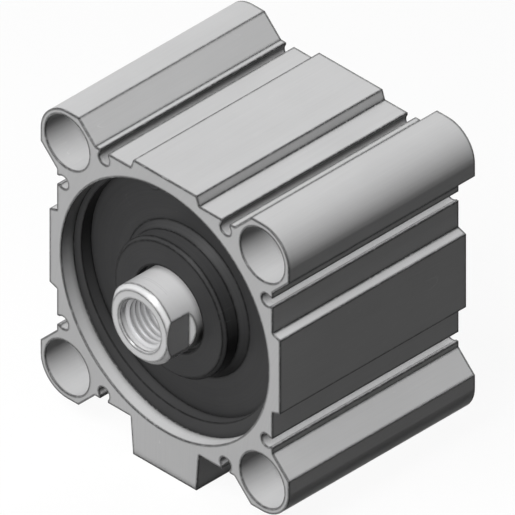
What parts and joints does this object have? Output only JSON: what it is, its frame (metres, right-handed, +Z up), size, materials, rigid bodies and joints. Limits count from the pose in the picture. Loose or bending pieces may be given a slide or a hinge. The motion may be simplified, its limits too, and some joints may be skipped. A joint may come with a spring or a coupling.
{
  "type": "compact pneumatic cylinder",
  "caption": "Compact double-acting air cylinder: a squarish grooved body with round bolt corners, a port boss underneath, and a short rod with a threaded end in a recessed cover.",
  "frame": {"origin": "centre of the bore on the front mounting face, the flat end that the rod comes out of", "axes": "-Y out along the rod, +Z up away from the port boss, and +X to the right for someone who faces the rod end"},
  "size_m": [0.098, 0.0835, 0.104],
  "materials": {
    "body": "satin anodised extrusion",
    "cover": "dark anodised, turned",
    "retaining_ring": "phosphated spring steel",
    "rod": "hard-chromed and ground",
    "bushing": "plain bearing bronze",
    "seal": "moulded nitrile rubber",
    "bumper": "moulded polyurethane",
    "piston": "turned, chromated",
    "magnet": "moulded ferrite",
    "wear_ring": "filled resin strip",
    "screw": "black oxide"
  },
  "bodies": {
    "barrel": {"cylinder_tube": "body", "rod_cover": "cover", "rod_cover_o_ring": "seal", "front_retaining_ring": "retaining_ring", "rod_bushing": "bushing", "rod_seal": "seal", "front_bumper": "bumper", "back_cover": "cover", "back_cover_o_ring": "seal", "back_retaining_ring": "retaining_ring", "back_bumper": "bumper"},
    "piston_rings": {"piston_seal": "seal", "wear_ring": "wear_ring"},
    "piston_and_rod": {"piston_rod": "rod", "piston_body": "piston", "piston_end_plate": "piston", "magnet_ring": "magnet", "front_magnet_washer": "seal", "back_magnet_washer": "seal", "piston_o_ring": "seal", "piston_screw": "screw"}
  },
  "joints": [
    {"name": "rod_slide", "type": "slide", "parent": "barrel", "child": "piston_rings", "axis": [0, -1, 0], "range_m": [0, 0.02]},
    {"name": "rod_turn", "type": "hinge", "parent": "piston_rings", "child": "piston_and_rod", "pos_m": [0, 0, 0], "axis": [0, -1, 0], "continuous": true}
  ]
}
